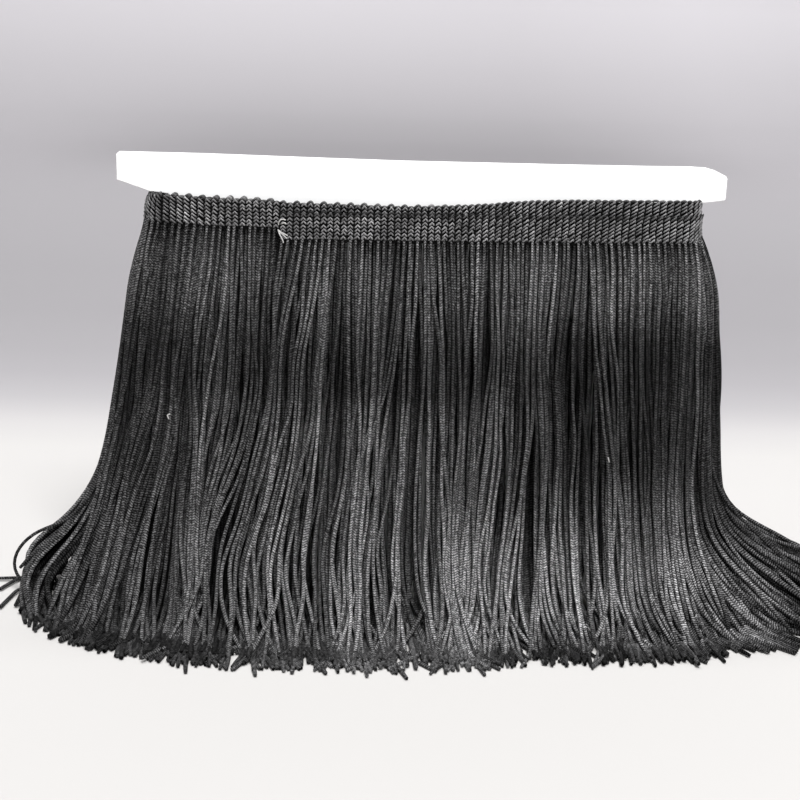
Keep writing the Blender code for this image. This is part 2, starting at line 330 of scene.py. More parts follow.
# Settling: the strands are pushed apart, kept at their length and laid on the floor
SETTLE_STEPS = 60
PAIRS_EVERY = 4
PAIR_REACH = 0.0021
CROWDED_GAP = 0.00098
LOOSE_GAP = 0.00132
PULL_BACK = 0.012
SAG_STEP = 0.00002
STIFFNESS = 0.3
TIPS_CLOSER = 0.25
NECK_HALF_WIDTH = 0.0765
BOARD_CLEAR = 0.0036

HALF_LONG_ARC = math.atan2(
    OVAL_END_CENTRE,
    (OVAL_END_CENTRE**2 / (OVAL_HALF_DEPTH - OVAL_END_RADIUS) + OVAL_END_RADIUS - OVAL_HALF_DEPTH) / 2,
)
LONG_ARC_RADIUS = OVAL_END_RADIUS + OVAL_END_CENTRE / math.sin(HALF_LONG_ARC)
HALF_SIDE = LONG_ARC_RADIUS * HALF_LONG_ARC
END_LENGTH = OVAL_END_RADIUS * (math.pi - 2 * HALF_LONG_ARC)
HALF_ROUND = 2 * HALF_SIDE + END_LENGTH
ROUND = 2 * HALF_ROUND


def smooth_step(value, low, high):
    x = np.clip((value - low) / (high - low), 0.0, 1.0)
    return x * x * (3 - 2 * x)


def between(value, low, high, edge):
    """1 from low to high and 0 well outside, with soft steps of twice the edge."""
    return smooth_step(value, low - edge, low + edge) * (1 - smooth_step(value, high - edge, high + edge))


def lengths_along(lines):
    """Length from the start of each line to each of its points."""
    links = np.linalg.norm(np.diff(lines, axis=-2), axis=-1)
    return np.concatenate([np.zeros((*links.shape[:-1], 1)), links.cumsum(-1)], -1)


def smooth_line(points, count, rounds, by_length=True):
    """A line through rough points given in millimetres, even by their length or by their number."""
    points = np.array(points) / 1000
    far = lengths_along(points) if by_length else np.arange(len(points))
    fine = np.linspace(0, far[-1], count)
    line = np.stack([np.interp(fine, far, points[:, k]) for k in range(3)], -1)
    for _ in range(rounds):
        line[1:-1] = (line[:-2] + 2 * line[1:-1] + line[2:]) / 4
    return line


# The spiral that the tape follows


def half_round_place(along):
    """A place on the front and right half of the oval, and -1 where it is on the other half."""
    place = (along + HALF_SIDE) % ROUND - HALF_SIDE
    other = place >= HALF_ROUND - HALF_SIDE
    return np.where(other, place - HALF_ROUND, place), np.where(other, -1.0, 1.0)


def oval(along, inset):
    """Points of the tape's centre line in plan, and the way out from the board."""
    along = np.asarray(along, float)
    place, sign = half_round_place(along)
    on_side = place <= HALF_SIDE
    angle = np.where(
        on_side,
        place / LONG_ARC_RADIUS - math.pi / 2,
        HALF_LONG_ARC - math.pi / 2 + (place - HALF_SIDE) / OVAL_END_RADIUS,
    )
    radius = np.where(on_side, LONG_ARC_RADIUS, OVAL_END_RADIUS) - inset
    out = np.stack([np.cos(angle), np.sin(angle)], -1)
    centre = np.where(
        on_side[..., None], [0.0, LONG_ARC_RADIUS - OVAL_HALF_DEPTH], [OVAL_END_CENTRE, 0.0]
    )
    return sign[..., None] * (centre + out * radius[..., None]), sign[..., None] * out


def tightening(along, inset):
    place, _ = half_round_place(along)
    radius = np.where(place <= HALF_SIDE, LONG_ARC_RADIUS, OVAL_END_RADIUS)
    return (radius - inset) / radius


def splay_angle(along, row):
    """The way in which a strand leans out, in plan. The rows that fill up the ends spread evenly
    round the right end, and the last ones fill its front corner."""
    place, sign = half_round_place(along)
    share = place / HALF_SIDE
    corner = np.where((sign > 0) & (share > 0), SPLAY_AT_RIGHT_CORNER, SPLAY_AT_CORNERS)
    on_side = -math.pi / 2 + corner * np.sign(share) * np.abs(share) ** SPLAY_POWER
    round_share = np.clip((place - HALF_SIDE) / END_LENGTH, 0, 1)
    to_right = np.where(row >= ENDS_ONLY_ROW, round_share, np.interp(round_share, *RIGHT_FAN))
    to_right = np.where(row >= CORNER_ROW, round_share * CORNER_SPREAD, to_right)
    to_front = np.where(sign > 0, to_right, 1 - (1 - round_share) ** LEFT_FAN_POWER)
    round_share = np.where(place <= HALF_SIDE, 0, to_front)
    on_end = -math.pi / 2 + corner + round_share * (math.pi - corner - SPLAY_AT_CORNERS)
    return np.where(place <= HALF_SIDE, on_side, on_end) + np.where(sign < 0, math.pi, 0.0)


def turn_of(along):
    return (along - CUT_END) / ROUND


def dropped(along):
    """1 where the outer turn hangs lower than the inner one, down to 0 where it has risen."""
    return 1 - smooth_step(turn_of(along), DROP_RISES_FROM, DROP_GONE_AT)


def heading_bottom(along):
    """Height of the tape's lower edge. The outer turn starts lower and rises round the back."""
    turn = turn_of(along)
    drop = OUTER_DROP * dropped(along)
    centre, _ = oval(along, LAYER_PITCH * turn)
    x, y = centre[..., 0], centre[..., 1]
    sag = INNER_SAG * np.exp(-(((x - INNER_SAG_PLACE) / INNER_SAG_WIDTH) ** 2)) * (y < 0) * (turn > 1)
    rise = INNER_RISE * smooth_step(x, *INNER_RISES) * (y < 0) * (turn > 1)
    rise = rise + LEFT_RISE * (1 - smooth_step(x, *LEFT_RISES))
    dip = CUT_END_DIP * np.exp(-(((x - CUT_END_DIP_PLACE) / CUT_END_DIP_WIDTH) ** 2)) * (y < 0)
    rise = rise - dip
    return HEADING_TOP - HEADING_HEIGHT + HEADING_TILT * x / OVAL_END_CENTRE - drop - sag + rise


def tape_point(along, off, up):
    """Points of the tape: off its centre line towards the outside, and up from its lower edge."""
    along = np.asarray(along, float)
    centre, out = oval(along, LAYER_PITCH * turn_of(along))
    flat = centre + out * np.asarray(off, float)[..., None]
    stretch = RIGHT_END_STRETCH + INNER_RIGHT_STRETCH * (turn_of(along) > 1)
    flat[..., 0] += stretch * smooth_step(flat[..., 0], *END_STRETCHES)
    flat[..., 0] -= LEFT_END_STRETCH * smooth_step(-flat[..., 0], *END_STRETCHES)
    high = np.clip(np.asarray(up, float) / HEADING_HEIGHT, 0, 1) ** 4
    flat[..., 0] += LEFT_END_ROUNDING * high * smooth_step(-flat[..., 0], *LEFT_END_ROUNDS)
    return np.concatenate([flat, (heading_bottom(along) + up)[..., None]], -1)


def places_along(start, end, pitch):
    """Even places along the tape's own length, which is shorter on the inner turn's round ends."""
    places = []
    along = start
    while along < end:
        places.append(along)
        along += pitch / float(tightening(along, LAYER_PITCH * turn_of(along)))
    return np.array(places)


# Meshes from arrays


def mesh_object(name, points, faces, uvs=None, smooth=True):
    """faces is a list of corner numbers for each face; uvs has one row for each corner of a face."""
    mesh = bpy.data.meshes.new(name)
    mesh.from_pydata(points.tolist(), [], faces)
    if uvs is not None:
        layer = mesh.uv_layers.new(name="along")
        layer.data.foreach_set("uv", np.asarray(uvs, np.float32).ravel())
    if smooth:
        mesh.shade_smooth()
    mesh.validate()
    obj = bpy.data.objects.new(name, mesh)
    bpy.context.scene.collection.objects.link(obj)
    return obj


def unit(vectors):
    return vectors / np.maximum(np.linalg.norm(vectors, axis=-1, keepdims=True), 1e-12)


def square_to(tangent, vectors):
    """Unit vectors square to the tangents, as near as can be to the vectors."""
    return unit(vectors - (vectors * tangent).sum(-1, keepdims=True) * tangent)


def ring_quads(count, sides):
    """Quads that join rings of points, one ring after the other."""
    k = np.arange(count - 1)[:, None] * sides
    s = np.arange(sides)[None, :]
    after = (s + 1) % sides
    return np.stack([k + s, k + after, k + sides + after, k + sides + s], -1).reshape(-1, 4)


def on_corners(values, sides, end_share=1.0):
    """A value for each point of the tubes' paths, given to every corner of their faces."""
    quads = np.stack([values[:, :-1], values[:, :-1], values[:, 1:], values[:, 1:]], -1)
    quads = np.broadcast_to(quads[:, :, None, :], (*quads.shape[:2], sides, 4))
    caps = np.repeat(np.stack([values[:, 0], values[:, -1] * end_share], 1), sides * 3, axis=1)
    return np.concatenate([quads.ravel(), caps.ravel()])


def tube_mesh(name, paths, radii, sides, roll=0.0, flatten=1.0, first_normal=(0.0, 1.0, 0.0), tones=None):
    """Closed round tubes along paths, an array of lines of points. radii and tones have a value for
    each point, or one for all. The UV map holds the way round in U and the length in centimetres
    in V. A second map holds the tones, with the painted light and shade that they carry, where they are
    given."""
    lines, count, _ = paths.shape
    radii = np.broadcast_to(radii, (lines, count))
    tangent = unit(np.gradient(paths, axis=1))
    normal = np.zeros_like(paths)
    normal[:, 0] = square_to(tangent[:, 0], np.array(first_normal, float))
    for k in range(1, count):
        normal[:, k] = square_to(tangent[:, k], normal[:, k - 1])
    binormal = np.cross(tangent, normal)
    ring = np.arange(sides) * 2 * math.pi / sides + np.broadcast_to(roll, lines)[:, None]
    across = normal[:, :, None, :] * np.cos(ring)[:, None, :, None]
    across = across + binormal[:, :, None, :] * np.sin(ring)[:, None, :, None] * flatten
    skin = paths[:, :, None, :] + across * radii[:, :, None, None]
    points = np.concatenate([skin.reshape(lines, -1, 3), paths[:, [0, -1]]], 1)
    s = np.arange(sides)
    after = (s + 1) % sides
    last = (count - 1) * sides
    start = np.stack([np.full(sides, count * sides), after, s], -1)
    end = np.stack([np.full(sides, count * sides + 1), last + s, last + after], -1)
    base = (np.arange(lines) * points.shape[1])[:, None, None]
    quads = (ring_quads(count, sides) + base).reshape(-1, 4)
    caps = (np.concatenate([start, end]) + base).reshape(-1, 3)
    u = np.broadcast_to(np.stack([s, s + 1, s + 1, s], -1) / sides, (lines, count - 1, sides, 4))
    u = np.append(u, np.zeros(caps.size))
    v = on_corners(lengths_along(paths), sides) * 100
    tube = mesh_object(name, points.reshape(-1, 3), quads.tolist() + caps.tolist(), np.stack([u, v], -1))
    if tones is not None:
        tone = on_corners(np.broadcast_to(tones, (lines, count)), sides, CUT_TONE)
        layer = tube.data.uv_layers.new(name="tone")
        layer.data.foreach_set("uv", np.stack([tone, tone], -1).astype(np.float32).ravel())
        tube.data.uv_layers.active_index = 0
    return tube


# Fringe


def layer_of(turn, row):
    """The layer that a strand is in, counted from the outside, with three under each turn."""
    return turn * LAYERS_PER_TURN + np.minimum(row, LAYERS_PER_TURN - 1)


def strand_starts():
    """Where each strand leaves the heading: rows under each turn, one behind the other. The rows
    from ENDS_ONLY_ROW on fill up the ends, where the strands spread, but for one that closes the
    inner turn. The last ones are at the right end alone."""
    starts = []
    for turn in range(TURNS):
        low = CUT_END + turn * ROUND
        for row, shift in enumerate(ROW_SHIFTS):
            along = places_along(low + COLUMN * shift, low + ROUND, COLUMN)
            if row > ENDS_ONLY_ROW or (row == ENDS_ONLY_ROW and turn == 0):
                along = along[np.abs(oval(along, 0.0)[0][:, 0]) > ENDS_FROM]
            if row >= RIGHT_ONLY_ROW:
                right_from = CORNER_FROM if row >= CORNER_ROW else RIGHT_FROM
                along = along[oval(along, 0.0)[0][:, 0] > right_from]
            along = along + rng.normal(0, ROOT_SCATTER, along.size)
            starts.append(np.stack([along, np.full(along.size, turn), np.full(along.size, row)], -1))
    return np.concatenate(starts).T


def outward_lean(height, out, depth):
    """How far a strand leans from upright at a height, in radians. The outer strands lean more
    and sooner; the ones underneath hang straighter and lie at the foot. At the two ends they lean
    nearly alike."""
    leans = {name: np.radians(np.interp(height, LEAN_HEIGHTS, LEANS[name][::-1])) for name in LEANS}
    left = np.clip(-out[:, 0], 0, 1) ** 1.5
    right = np.clip(out[:, 0], 0, 1) ** 1.5
    outer = leans["front"] * (1 - left - right) + leans["left"] * left + leans["right"] * right
    outer = outer * (1 - CORNER_LESS * np.abs(2 * out[:, 0] * out[:, 1]))
    depth = depth * (1 - LEFT_ALIKE * left - RIGHT_ALIKE * right)
    return outer * (1 - depth) + leans["under"] * depth


def sideways_lean(x, s, sways):
    """How far the strands lean along the heading at a place x and a length s: gentle waves that
    neighbours share, so that they part and close again."""
    lean = np.zeros_like(x)
    for place, width, low, high, degrees in sways:
        across = np.exp(-(((x * 1000 - place) / width) ** 2))
        lean = lean + degrees * across * between(s * 1000, low, high, SWAY_EDGE)
    return np.radians(lean)


def splay_to_front(splay):
    """The splay counted from the front, so that the left half runs down from -90 degrees."""
    return np.where(splay > math.pi / 2, splay - 2 * math.pi, splay)


def foot_curl(out, splay):
    """How far a strand turns round in plan along its foot, in radians: towards the front at both
    ends, and a little either way by chance."""
    to_left = np.clip(-out[:, 0] * 1.3, 0, 1)
    to_right = np.clip(out[:, 0] * 1.3, 0, 1)
    curl = np.clip(-math.pi / 2 - splay_to_front(splay), *LEFT_CURL_RANGE) * to_left * LEFT_CURL
    curl = curl + np.clip(-splay, 0.0, MOST_RIGHT_CURL) * to_right * RIGHT_CURL
    curl = curl + rng.normal(0, CURL_SCATTER, splay.size)
    strong = rng.normal(0, STRONG_CURL_SCATTER, splay.size)
    return curl + strong * (rng.random(splay.size) < STRONG_CURL_SHARE)


def chance_sways():
    """Sways like FRONT_SWAYS, by chance: for the back, and for each layer of the front."""
    back = [
        (place, 14.0, rng.uniform(0, 70), rng.uniform(80, 125), rng.normal(0, 8))
        for place in range(-90, 91, 15)
    ]
    layers = [
        [
            (rng.uniform(-85, 85), rng.uniform(4, 9), low, low + rng.uniform(25, 50), rng.normal(0, 3))
            for low in rng.uniform(-10, 105, 30)
        ]
        for _ in range(TURNS * LAYERS_PER_TURN)
    ]
    return back, layers


def with_waves(value, loose, s, sizes, starts):
    """The value with the waves of each strand added to it, as they stand at a length s."""
    for (wave, slope), size, start in zip(WAVES, sizes, starts):
        value = value + loose * slope * size * np.sin(2 * math.pi * s / wave + start)
    return value


def hang(along, turn, row):
    """First shape of the strands, each of its exact length, followed step by step from its root."""
    count = along.size
    root = tape_point(along, np.take(ROW_OFFS, row.astype(int)), np.full(count, ROOT_TUCK))
    splay = splay_angle(along, row)
    out = np.stack([np.cos(splay), np.sin(splay)], -1)
    facing = np.clip(-out[:, 1], 0, 1) ** 2
    facing_back = np.clip(out[:, 1], 0, 1) ** 2
    depth = layer_of(turn, row) / DEEPEST_LAYER + rng.normal(0, DEPTH_SCATTER, count)
    depth = np.clip(depth, 0.0, 1.0)
    curl = foot_curl(out, splay)
    curl_from = CURL_FROM + CURL_LATER_AT_LEFT * np.clip((-out[:, 0] - 0.6) / 0.4, 0, 1)
    length = STRAND_LENGTH + ROOT_TUCK + rng.normal(0, LENGTH_SCATTER, count)
    step = length / (STRAND_POINTS - 1)
    side_phase = rng.uniform(0, 2 * math.pi, (len(WAVES), count))
    lean_phase = rng.uniform(0, 2 * math.pi, (len(WAVES), count))
    side_size = rng.normal(0, 1, (len(WAVES), count))
    lean_size = rng.normal(0, 1, (len(WAVES), count))
    own_splay = OWN_SPLAY + OWN_SPLAY_AT_RIGHT * np.clip(out[:, 0], 0, 1) ** 1.5
    own_splay = rng.normal(0, 1, count) * own_splay
    spread = FILLER_SPREAD + FILLER_SPREAD_AT_RIGHT * (out[:, 0] > 0)
    filler = row >= ENDS_ONLY_ROW
    splay = splay + rng.normal(0, 1, count) * spread * filler * np.clip(np.abs(out[:, 0]) * 2, 0, 1)
    back_sways, layer_sways = chance_sways()
    at_ends = np.abs(out[:, 0]) ** 1.5
    paths = np.zeros((count, STRAND_POINTS, 3))
    paths[:, 0] = root
    lean = np.zeros(count)
    for k in range(1, STRAND_POINTS):
        s = k * step
        place = paths[:, k - 1]
        height = np.maximum(place[:, 2] - STRAND_RADIUS, 0.0)
        wanted = outward_lean(height, out, depth)
        free = smooth_step(s, *FREE_OF_ROOT)
        loose = free * (LEAN_WAVES - LEAN_CALMER_AT_ENDS * at_ends)
        wanted = with_waves(wanted, loose, s, lean_size, lean_phase)
        landing = np.arcsin(np.clip(1 - height / LANDING_BEND, 0, 1))
        wanted = np.minimum(np.maximum(wanted, landing), math.pi / 2)
        limit = step / TIGHTEST_BEND
        lean = lean + np.clip(wanted - lean, -limit, limit)
        lean = np.where(height <= FLAT_FROM, math.pi / 2, lean)
        way = splay + curl * smooth_step(s, curl_from, curl_from + CURL_OVER)
        seen = SEEN_UPRIGHT * np.cos(lean) + SEEN_LYING * np.sin(lean)
        front_lean = sideways_lean(place[:, 0], s, FRONT_SWAYS) * (1 - depth)
        for layer, sways in enumerate(layer_sways):
            own = sideways_lean(place[:, 0], s, sways) * (1 - LAYER_SWAYS_LESS_UNDER * depth)
            front_lean = front_lean + (layer_of(turn, row) == layer) * own
        back_lean = sideways_lean(place[:, 0], s, back_sways) * (1 - depth)
        side = np.tan(front_lean) * seen * facing
        side = side - np.tan(back_lean) * seen * facing_back
        side = side + own_splay * free
        loose = free * (SIDE_WAVES + SIDE_WAVES_MORE * smooth_step(s, *SIDE_WAVES_GROW))
        loose = loose * (1 - CALMER_AT_ENDS * at_ends)
        loose = loose * (1 - CALMER_AT_RIGHT * smooth_step(place[:, 0], *CALMER_PLACES))
        loose = loose * (1 - CALMER_UNDER * depth)
        side = with_waves(side, loose, s, side_size, side_phase)
        move = np.stack(
            [
                np.sin(lean) * np.cos(way) - side * np.sin(splay),
                np.sin(lean) * np.sin(way) + side * np.cos(splay),
                -np.cos(lean),
            ],
            -1,
        )
        paths[:, k] = place + unit(move) * step[:, None]
    return paths, step, depth


def close_pairs(points, reach):
    """Pairs of points nearer than reach, found by sorting them into cubes."""
    cell = np.floor(points / reach).astype(np.int64)
    cell -= cell.min(0)
    span = cell.max(0) + 3
    key = ((cell[:, 0] + 1) * span[1] + cell[:, 1] + 1) * span[2] + cell[:, 2] + 1
    order = np.argsort(key, kind="stable")
    ordered = key[order]
    first, second = [], []
    for dx, dy, dz in [cell for cell in product((-1, 0, 1), repeat=3) if cell >= (0, 0, 0)]:
        wanted = key + (dx * span[1] + dy) * span[2] + dz
        low = np.searchsorted(ordered, wanted, "left")
        high = np.searchsorted(ordered, wanted, "right")
        for k in range(int((high - low).max())):
            has = np.nonzero(low + k < high)[0]
            first.append(has)
            second.append(order[low[has] + k])
    first, second = np.concatenate(first), np.concatenate(second)
    keep = first != second
    first, second = first[keep], second[keep]
    gap = np.linalg.norm(points[first] - points[second], axis=-1)
    near = gap < reach
    return first[near], second[near]


def settle(paths, step, lowest):
    """Pushes the strands apart, keeps each at its length and out of the floor and the board."""
    count, size, _ = paths.shape
    wanted = paths.copy()
    strand = np.repeat(np.arange(count), size)
    s = (np.arange(size)[None, :] * step[:, None]).ravel()
    gap_wanted = CROWDED_GAP + (LOOSE_GAP - CROWDED_GAP) * smooth_step(s, 0.004, 0.035)
    gap_wanted *= 1 - TIPS_CLOSER * smooth_step(s, 0.118, 0.142)
    front = np.where(wanted[:, :1, 1] < 0, -1.0, 1.0)
    for turn in range(SETTLE_STEPS):
        flat = paths.reshape(-1, 3)
        if turn % PAIRS_EVERY == 0:
            first, second = close_pairs(flat, PAIR_REACH)
            other = strand[first] != strand[second]
            first, second = first[other], second[other]
        apart = flat[first] - flat[second]
        gap = np.maximum(np.linalg.norm(apart, axis=-1), 1e-7)
        need = np.minimum(gap_wanted[first], gap_wanted[second])
        push = np.maximum(need - gap, 0.0) * 0.5
        move = apart / gap[:, None] * push[:, None]
        hits = push > 0
        shift = np.zeros_like(flat)
        number = np.zeros(flat.shape[0])
        np.add.at(shift, first[hits], move[hits])
        np.add.at(shift, second[hits], -move[hits])
        np.add.at(number, first[hits], 1)
        np.add.at(number, second[hits], 1)
        shift /= np.maximum(number, 1)[:, None] ** 0.5
        moved = shift.reshape(count, size, 3)
        moved[:, :2] = 0
        paths = paths + moved
        off = wanted - paths
        off[:, :, 2] *= 0.5
        paths[:, 2:] += PULL_BACK * off[:, 2:]
        paths[:, 2:, 2] -= SAG_STEP
        bent = paths - wanted
        middle = 0.5 * (bent[:, :-2] + bent[:, 2:]) - bent[:, 1:-1]
        paths[:, 2:-1] += STIFFNESS * middle[:, 1:]
        inside = (np.abs(paths[:, :, 1]) < BOARD_CLEAR) & (np.abs(paths[:, :, 0]) < NECK_HALF_WIDTH)
        paths[:, :, 1] = np.where(inside, front * BOARD_CLEAR, paths[:, :, 1])
        for _ in range(2):
            for odd in (0, 1):
                a = paths[:, 1 + odd : size - 1 : 2]
                b = paths[:, 2 + odd : size : 2]
                link = b - a
                long = np.linalg.norm(link, axis=-1, keepdims=True)
                fix = link * (1 - step[:, None, None] / np.maximum(long, 1e-9))
                share = np.full(long.shape, 0.5)
                if odd == 0:
                    share[:, 0] = 0.0
                a += fix * share
                b -= fix * (1 - share)
        paths[:, :, 2] = np.maximum(paths[:, :, 2], lowest[:, None])
    return paths


def even_hem(paths, depth):
    """Trims the lying ends, or draws them out, so that the hem runs even as far as it shows."""
    count = len(paths)
    tip = paths[:, -1]
    way = unit((tip - paths[:, -4]) * [1.0, 1.0, 0.0])
    to_right = smooth_step(tip[:, 0], 0.020, 0.055)
    under = depth * (1 - to_right) + (1 - depth) * 1.7 * to_right
    inside = np.abs(rng.normal(0, HEM_RAGGED, count)) + rng.uniform(0, HEM_FURTHER_IN, count) * under
    standing_out = rng.uniform(*HEM_STANDING_OUT, count)
    inside = inside - standing_out * (rng.random(count) < HEM_STANDING_OUT_SHARE)
    wanted = np.interp(tip[:, 0] * 1000, *np.array(HEM).T) / 1000 + inside
    to_front = (way[:, 1] < -0.4) & (tip[:, 1] < 0)
    more = np.where(to_front, (tip[:, 1] - wanted) / np.maximum(-way[:, 1], 0.4), 0.0)
    past = np.abs(tip[:, 0]) - REACH - 0.005
    more = np.where(past > 0, np.minimum(more, -past / np.maximum(np.abs(way[:, 0]), 0.3)), more)
    more = np.clip(more, -MOST_TRIMMED, MOST_DRAWN)
    end = tip + way * MOST_DRAWN
    longer = np.concatenate([paths, end[:, None]], 1)
    place = lengths_along(longer)
    even = np.zeros_like(paths)
    for k, line in enumerate(longer):
        wanted_places = np.linspace(0, place[k, -2] + more[k], STRAND_POINTS)
        even[k] = np.stack([np.interp(wanted_places, place[k], line[:, axis]) for axis in range(3)], -1)
    past = np.maximum(even[:, :, 0] - REACH, 0.0)
    even[:, :, 0] += MOST_REACH * (1 - np.exp(-past / MOST_REACH)) - past
    return even


def painted_light_and_shade(paths, s):
    """Painted light and shade along a strand, for how the satin takes the light: less in the straight
    middle, more where the strands bend out at the foot, most of all right of the middle and at the front
    corner."""
    x, y = paths[:, :, 0], paths[:, :, 1]
    light = np.zeros(np.broadcast(x, s).shape)
    for column, values in enumerate(PAINTED_LIGHT):
        near = np.interp(x, PAINTED_LIGHT_PLACES, np.eye(len(PAINTED_LIGHT))[column])
        light = light + near * np.interp(s, PAINTED_LIGHT_LENGTHS, values)
    corner = smooth_step(x, *CORNER_ACROSS) * smooth_step(-y, *CORNER_TO_FRONT)
    corner = corner * smooth_step(s, *CORNER_LENGTHS)
    return light + (CORNER_PAINTED_LIGHT * (1 - CORNER_FADE * smooth_step(x, *CORNER_FADES)) - light) * corner


def strand_radii(paths, s, under, filler):
    """Radius at each point: thin at the root, and thicker for strands underneath and fillers."""
    to_right = smooth_step(paths[:, :1, 0], *RIGHT_FOOT_PLACES)
    foot = FOOT_RADIUS + (RIGHT_FOOT_RADIUS - FOOT_RADIUS) * to_right
    radii = ROOT_RADIUS + (STRAND_RADIUS - ROOT_RADIUS) * smooth_step(s, *ROOT_THICKENS)
    radii = radii[None, :] + (foot - STRAND_RADIUS) * smooth_step(s, *FOOT_THICKENS)[None, :]
    radii = radii * (1 + under[:, None] * smooth_step(s, *UNDER_THICKENS)[None, :])
    radii = radii * (1 + FILLER_THICKER * filler[:, None] * smooth_step(s, *FILLER_THICKENS)[None, :])
    radii *= 1 + RADIUS_SCATTER * np.clip(rng.normal(0, 1, (len(paths), 1)), -2, 1.5)
    radii[:, -1] *= CUT_TIP_SHARE
    return radii


def strand_tones(paths, s, turn, row, depth, filler):
    """Brightness at each point: painted shade on the strands underneath, close under the heading and at
    the tips, light and shade in soft patches, and painted light for the sheen of the satin."""
    root_x = paths[:, :1, 0]
    tip_x = paths[:, -1:, 0]
    tones = np.interp(layer_of(turn, row) / DEEPEST_LAYER, DEPTH_STEPS, DEPTH_PAINTED_SHADES)[:, None]
    to_right = smooth_step(tip_x, 0.010, 0.045)
    contrast = FOOT_CONTRAST - CONTRAST_FALL * smooth_step(root_x, *CONTRAST_FALLS)
    at_tip = smooth_step(s, 0.116, 0.130)[None, :]
    more = TIP_CONTRAST_MORE * to_right - TIP_CONTRAST_LESS * (1 - to_right)
    contrast = contrast * (1 + more * at_tip)
    foot_painted_shades = np.interp(depth, DEPTH_STEPS, FOOT_PAINTED_SHADES)[:, None] ** contrast
    foot_painted_shades = np.maximum(foot_painted_shades, FILLER_TONE * (filler[:, None] > 0) * (root_x > 0))
    tones = tones + (foot_painted_shades - tones) * smooth_step(s, 0.060, 0.110)[None, :]
    patches = 0
    for size, width, slant, start in PATCHES:
        patches = patches + size * np.sin(paths[:, :, 0] / width + slant * s + start)
    tones = tones * np.exp(patches)
    tones = tones * (1 - ROOT_SHADE * (row[:, None] > 0) * (1 - smooth_step(s, 0.003, 0.011))[None, :])
    from_middle = smooth_step(tip_x, -0.010, 0.040)
    middle = smooth_step(tip_x, -0.058, -0.046) * (1 - from_middle)
    tip_from = TIP_SHADE_FROM + 0.003 * from_middle - 0.007 * middle
    tip_over = TIP_SHADE_OVER + 0.006 * middle
    tip_shade = 1 - SHADED_TIP_TONE + 0.17 * from_middle - 0.06 * middle
    tones = tones * (1 - tip_shade * smooth_step(s[None, :], tip_from, tip_from + tip_over))
    own = rng.normal(0, STRAND_TONE_SCATTER, (len(paths), 1))
    return tones * np.exp(own) * painted_light_and_shade(paths, s[None, :])


def side_of(along, turn):
    """The side of the board that a strand hangs on, as in the names of the solids."""
    place, sign = half_round_place(along)
    on_end = np.where(sign > 0, "right", "left")
    side = np.where(place > HALF_SIDE, on_end, np.where(sign < 0, "back", "front"))
    low = CUT_END + turn * ROUND
    return np.where((side == "front") & (along - low > HALF_ROUND), "front_left", side)


def make_fringe():
    along, turn, row = strand_starts()
    paths, step, depth = hang(along, turn, row)
    under = UNDER_THICKER * smooth_step(depth, *UNDER_DEPTHS)
    filler = (row >= ENDS_ONLY_ROW) * smooth_step(np.abs(paths[:, 0, 0]), *FILLER_PLACES)
    paths = settle(paths, step, FOOT_RADIUS * (1 + under) * (1 + FILLER_THICKER * filler))
    paths = even_hem(paths, depth)
    s = np.linspace(0, STRAND_LENGTH, STRAND_POINTS)
    roll = rng.uniform(0, 2 * math.pi, along.size)
    radii = strand_radii(paths, s, under, filler)
    tones = strand_tones(paths, s, turn, row, depth, filler)
    side = side_of(along, turn)
    pieces = []
    for index, (layer, sides) in enumerate((("outer", STRAND_SIDES), ("inner", STRAND_SIDES - 1))):
        for name in ("front", "right", "back", "left", "front_left"):
            mine = (turn == index) & (side == name)
            piece = tube_mesh(
                f"strands_{layer}_{name}", paths[mine], radii[mine], sides, roll[mine], STRAND_FLATNESS,
                tones=tones[mine],
            )
            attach(piece, "root")
            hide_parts(f"fringe_{layer}_{name}")
            pieces.append(piece)
    return pieces, paths


def make_strays():
    """Loose strands: a loop and three ends at the left foot, and two that bridge the right corner."""
    lines = np.array([smooth_line(points, 40, 6) for points in STRAY_STRANDS])
    return tube_mesh(
        "stray_strands", lines, STRAY_RADIUS, STRAND_SIDES, flatten=STRAND_FLATNESS, tones=STRAY_TONE
    )


def make_lint(paths):
    """Two specks of pale lint, each on the foremost strand at its place."""
    points = paths.reshape(-1, 3)
    lines = []
    for x, z, ends in LINT_SPECKS:
        near = (np.abs(points[:, 0] - x) < 0.0015) & (np.abs(points[:, 2] - z) < 0.002)
        front = points[near][:, 1].min() - STRAND_RADIUS
        for across, up in ends:
            line = np.linspace(0, 1, 5)[:, None] * [across / 1000, -0.0002, up / 1000] + [x, front, z]
            lines.append(line)
    return tube_mesh("lint", np.array(lines), LINT_RADIUS, 5, first_normal=(1, 0, 0.3))


# Heading


def make_tape():
    """The plain ground of the tape, behind its stitches: a thin closed band with its root row."""
    inner_end = CUT_END + TURNS * ROUND
    along = np.append(places_along(CUT_END, inner_end, TAPE_STEP), inner_end)
    half, top = TAPE_THICKNESS / 2, HEADING_HEIGHT - TAPE_TOP_GAP
    corners = [(-half, -ROOT_ROW), (half, -ROOT_ROW), (half, top), (-half, top)]
    every = np.ones(along.size)
    rings = np.stack([tape_point(along, off * every, up * every) for off, up in corners], 1)
    last = (along.size - 1) * 4
    faces = [*ring_quads(along.size, 4).tolist(), [3, 2, 1, 0], [last, last + 1, last + 2, last + 3]]
    tape = mesh_object("heading_tape", rings.reshape(-1, 3), faces, smooth=False)
    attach(tape, "root")
    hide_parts("heading")
    return tape


